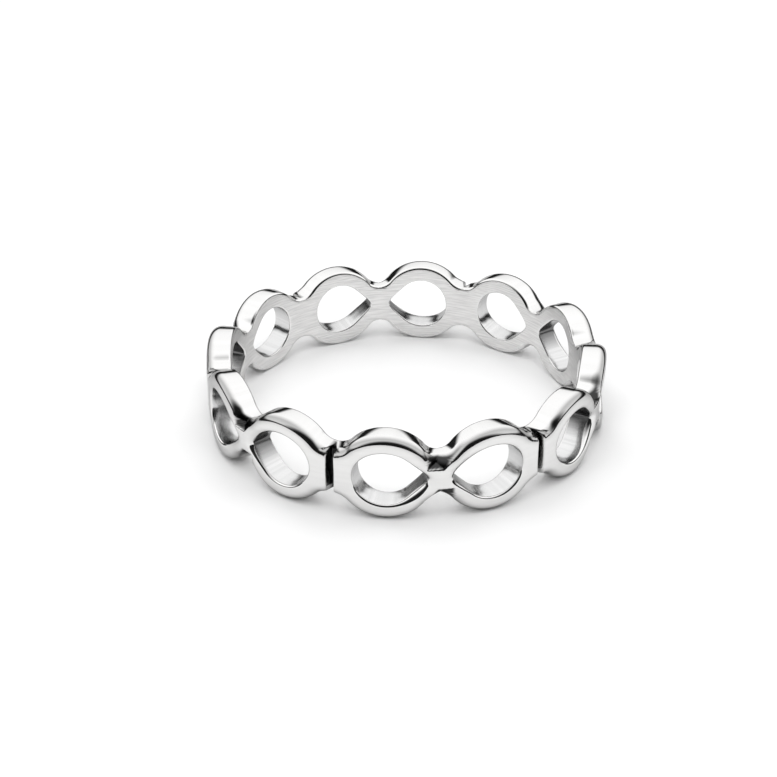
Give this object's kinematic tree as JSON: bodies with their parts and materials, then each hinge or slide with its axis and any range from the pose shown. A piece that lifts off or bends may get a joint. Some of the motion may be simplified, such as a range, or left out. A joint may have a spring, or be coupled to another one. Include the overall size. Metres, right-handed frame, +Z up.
{
  "type": "infinity ring",
  "caption": "Openwork finger ring: a soldered round of infinity signs, each a flat-faced strand that crosses over itself between two open eyes.",
  "frame": {"origin": "centre of the band's lowest points, where its lobes rest on a surface", "axes": "+Z up along the finger hole's axis; one crossing faces -Y and one soldered joint lies on +X"},
  "size_m": [0.0196, 0.0198, 0.0042],
  "materials": {
    "silver": "polished"
  },
  "bodies": {
    "root": {"infinity_band": "silver"}
  },
  "joints": []
}
